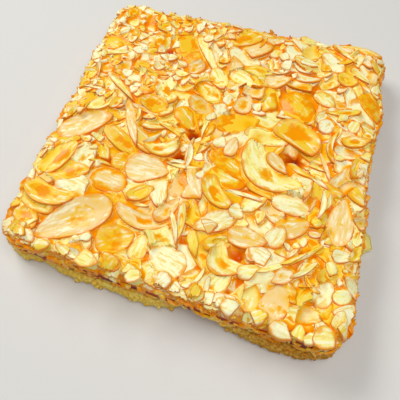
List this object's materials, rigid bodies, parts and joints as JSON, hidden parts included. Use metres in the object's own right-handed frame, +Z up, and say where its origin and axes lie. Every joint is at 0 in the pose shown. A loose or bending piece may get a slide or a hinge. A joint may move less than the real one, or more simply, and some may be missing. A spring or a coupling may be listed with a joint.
{
  "type": "almond caramel slab on a shortbread base",
  "caption": "Hand-cut square of glossy almond caramel, packed with sliced almonds, on a crumbly shortbread base.",
  "frame": {"origin": "under the middle of the slab, on the flat underside that it rests on", "axes": "+Z up, through the thickness; +Y from the side nearest the viewer to the far side; +X to the right"},
  "size_m": [0.1063, 0.1137, 0.0154],
  "materials": {
    "almond_caramel": "amber caramel, glossy, with pale sliced almonds",
    "shortbread": "dry, crumbly, golden yellow"
  },
  "bodies": {
    "root": {"almond_caramel_layer": "almond_caramel", "shortbread_base": "shortbread"}
  },
  "joints": []
}
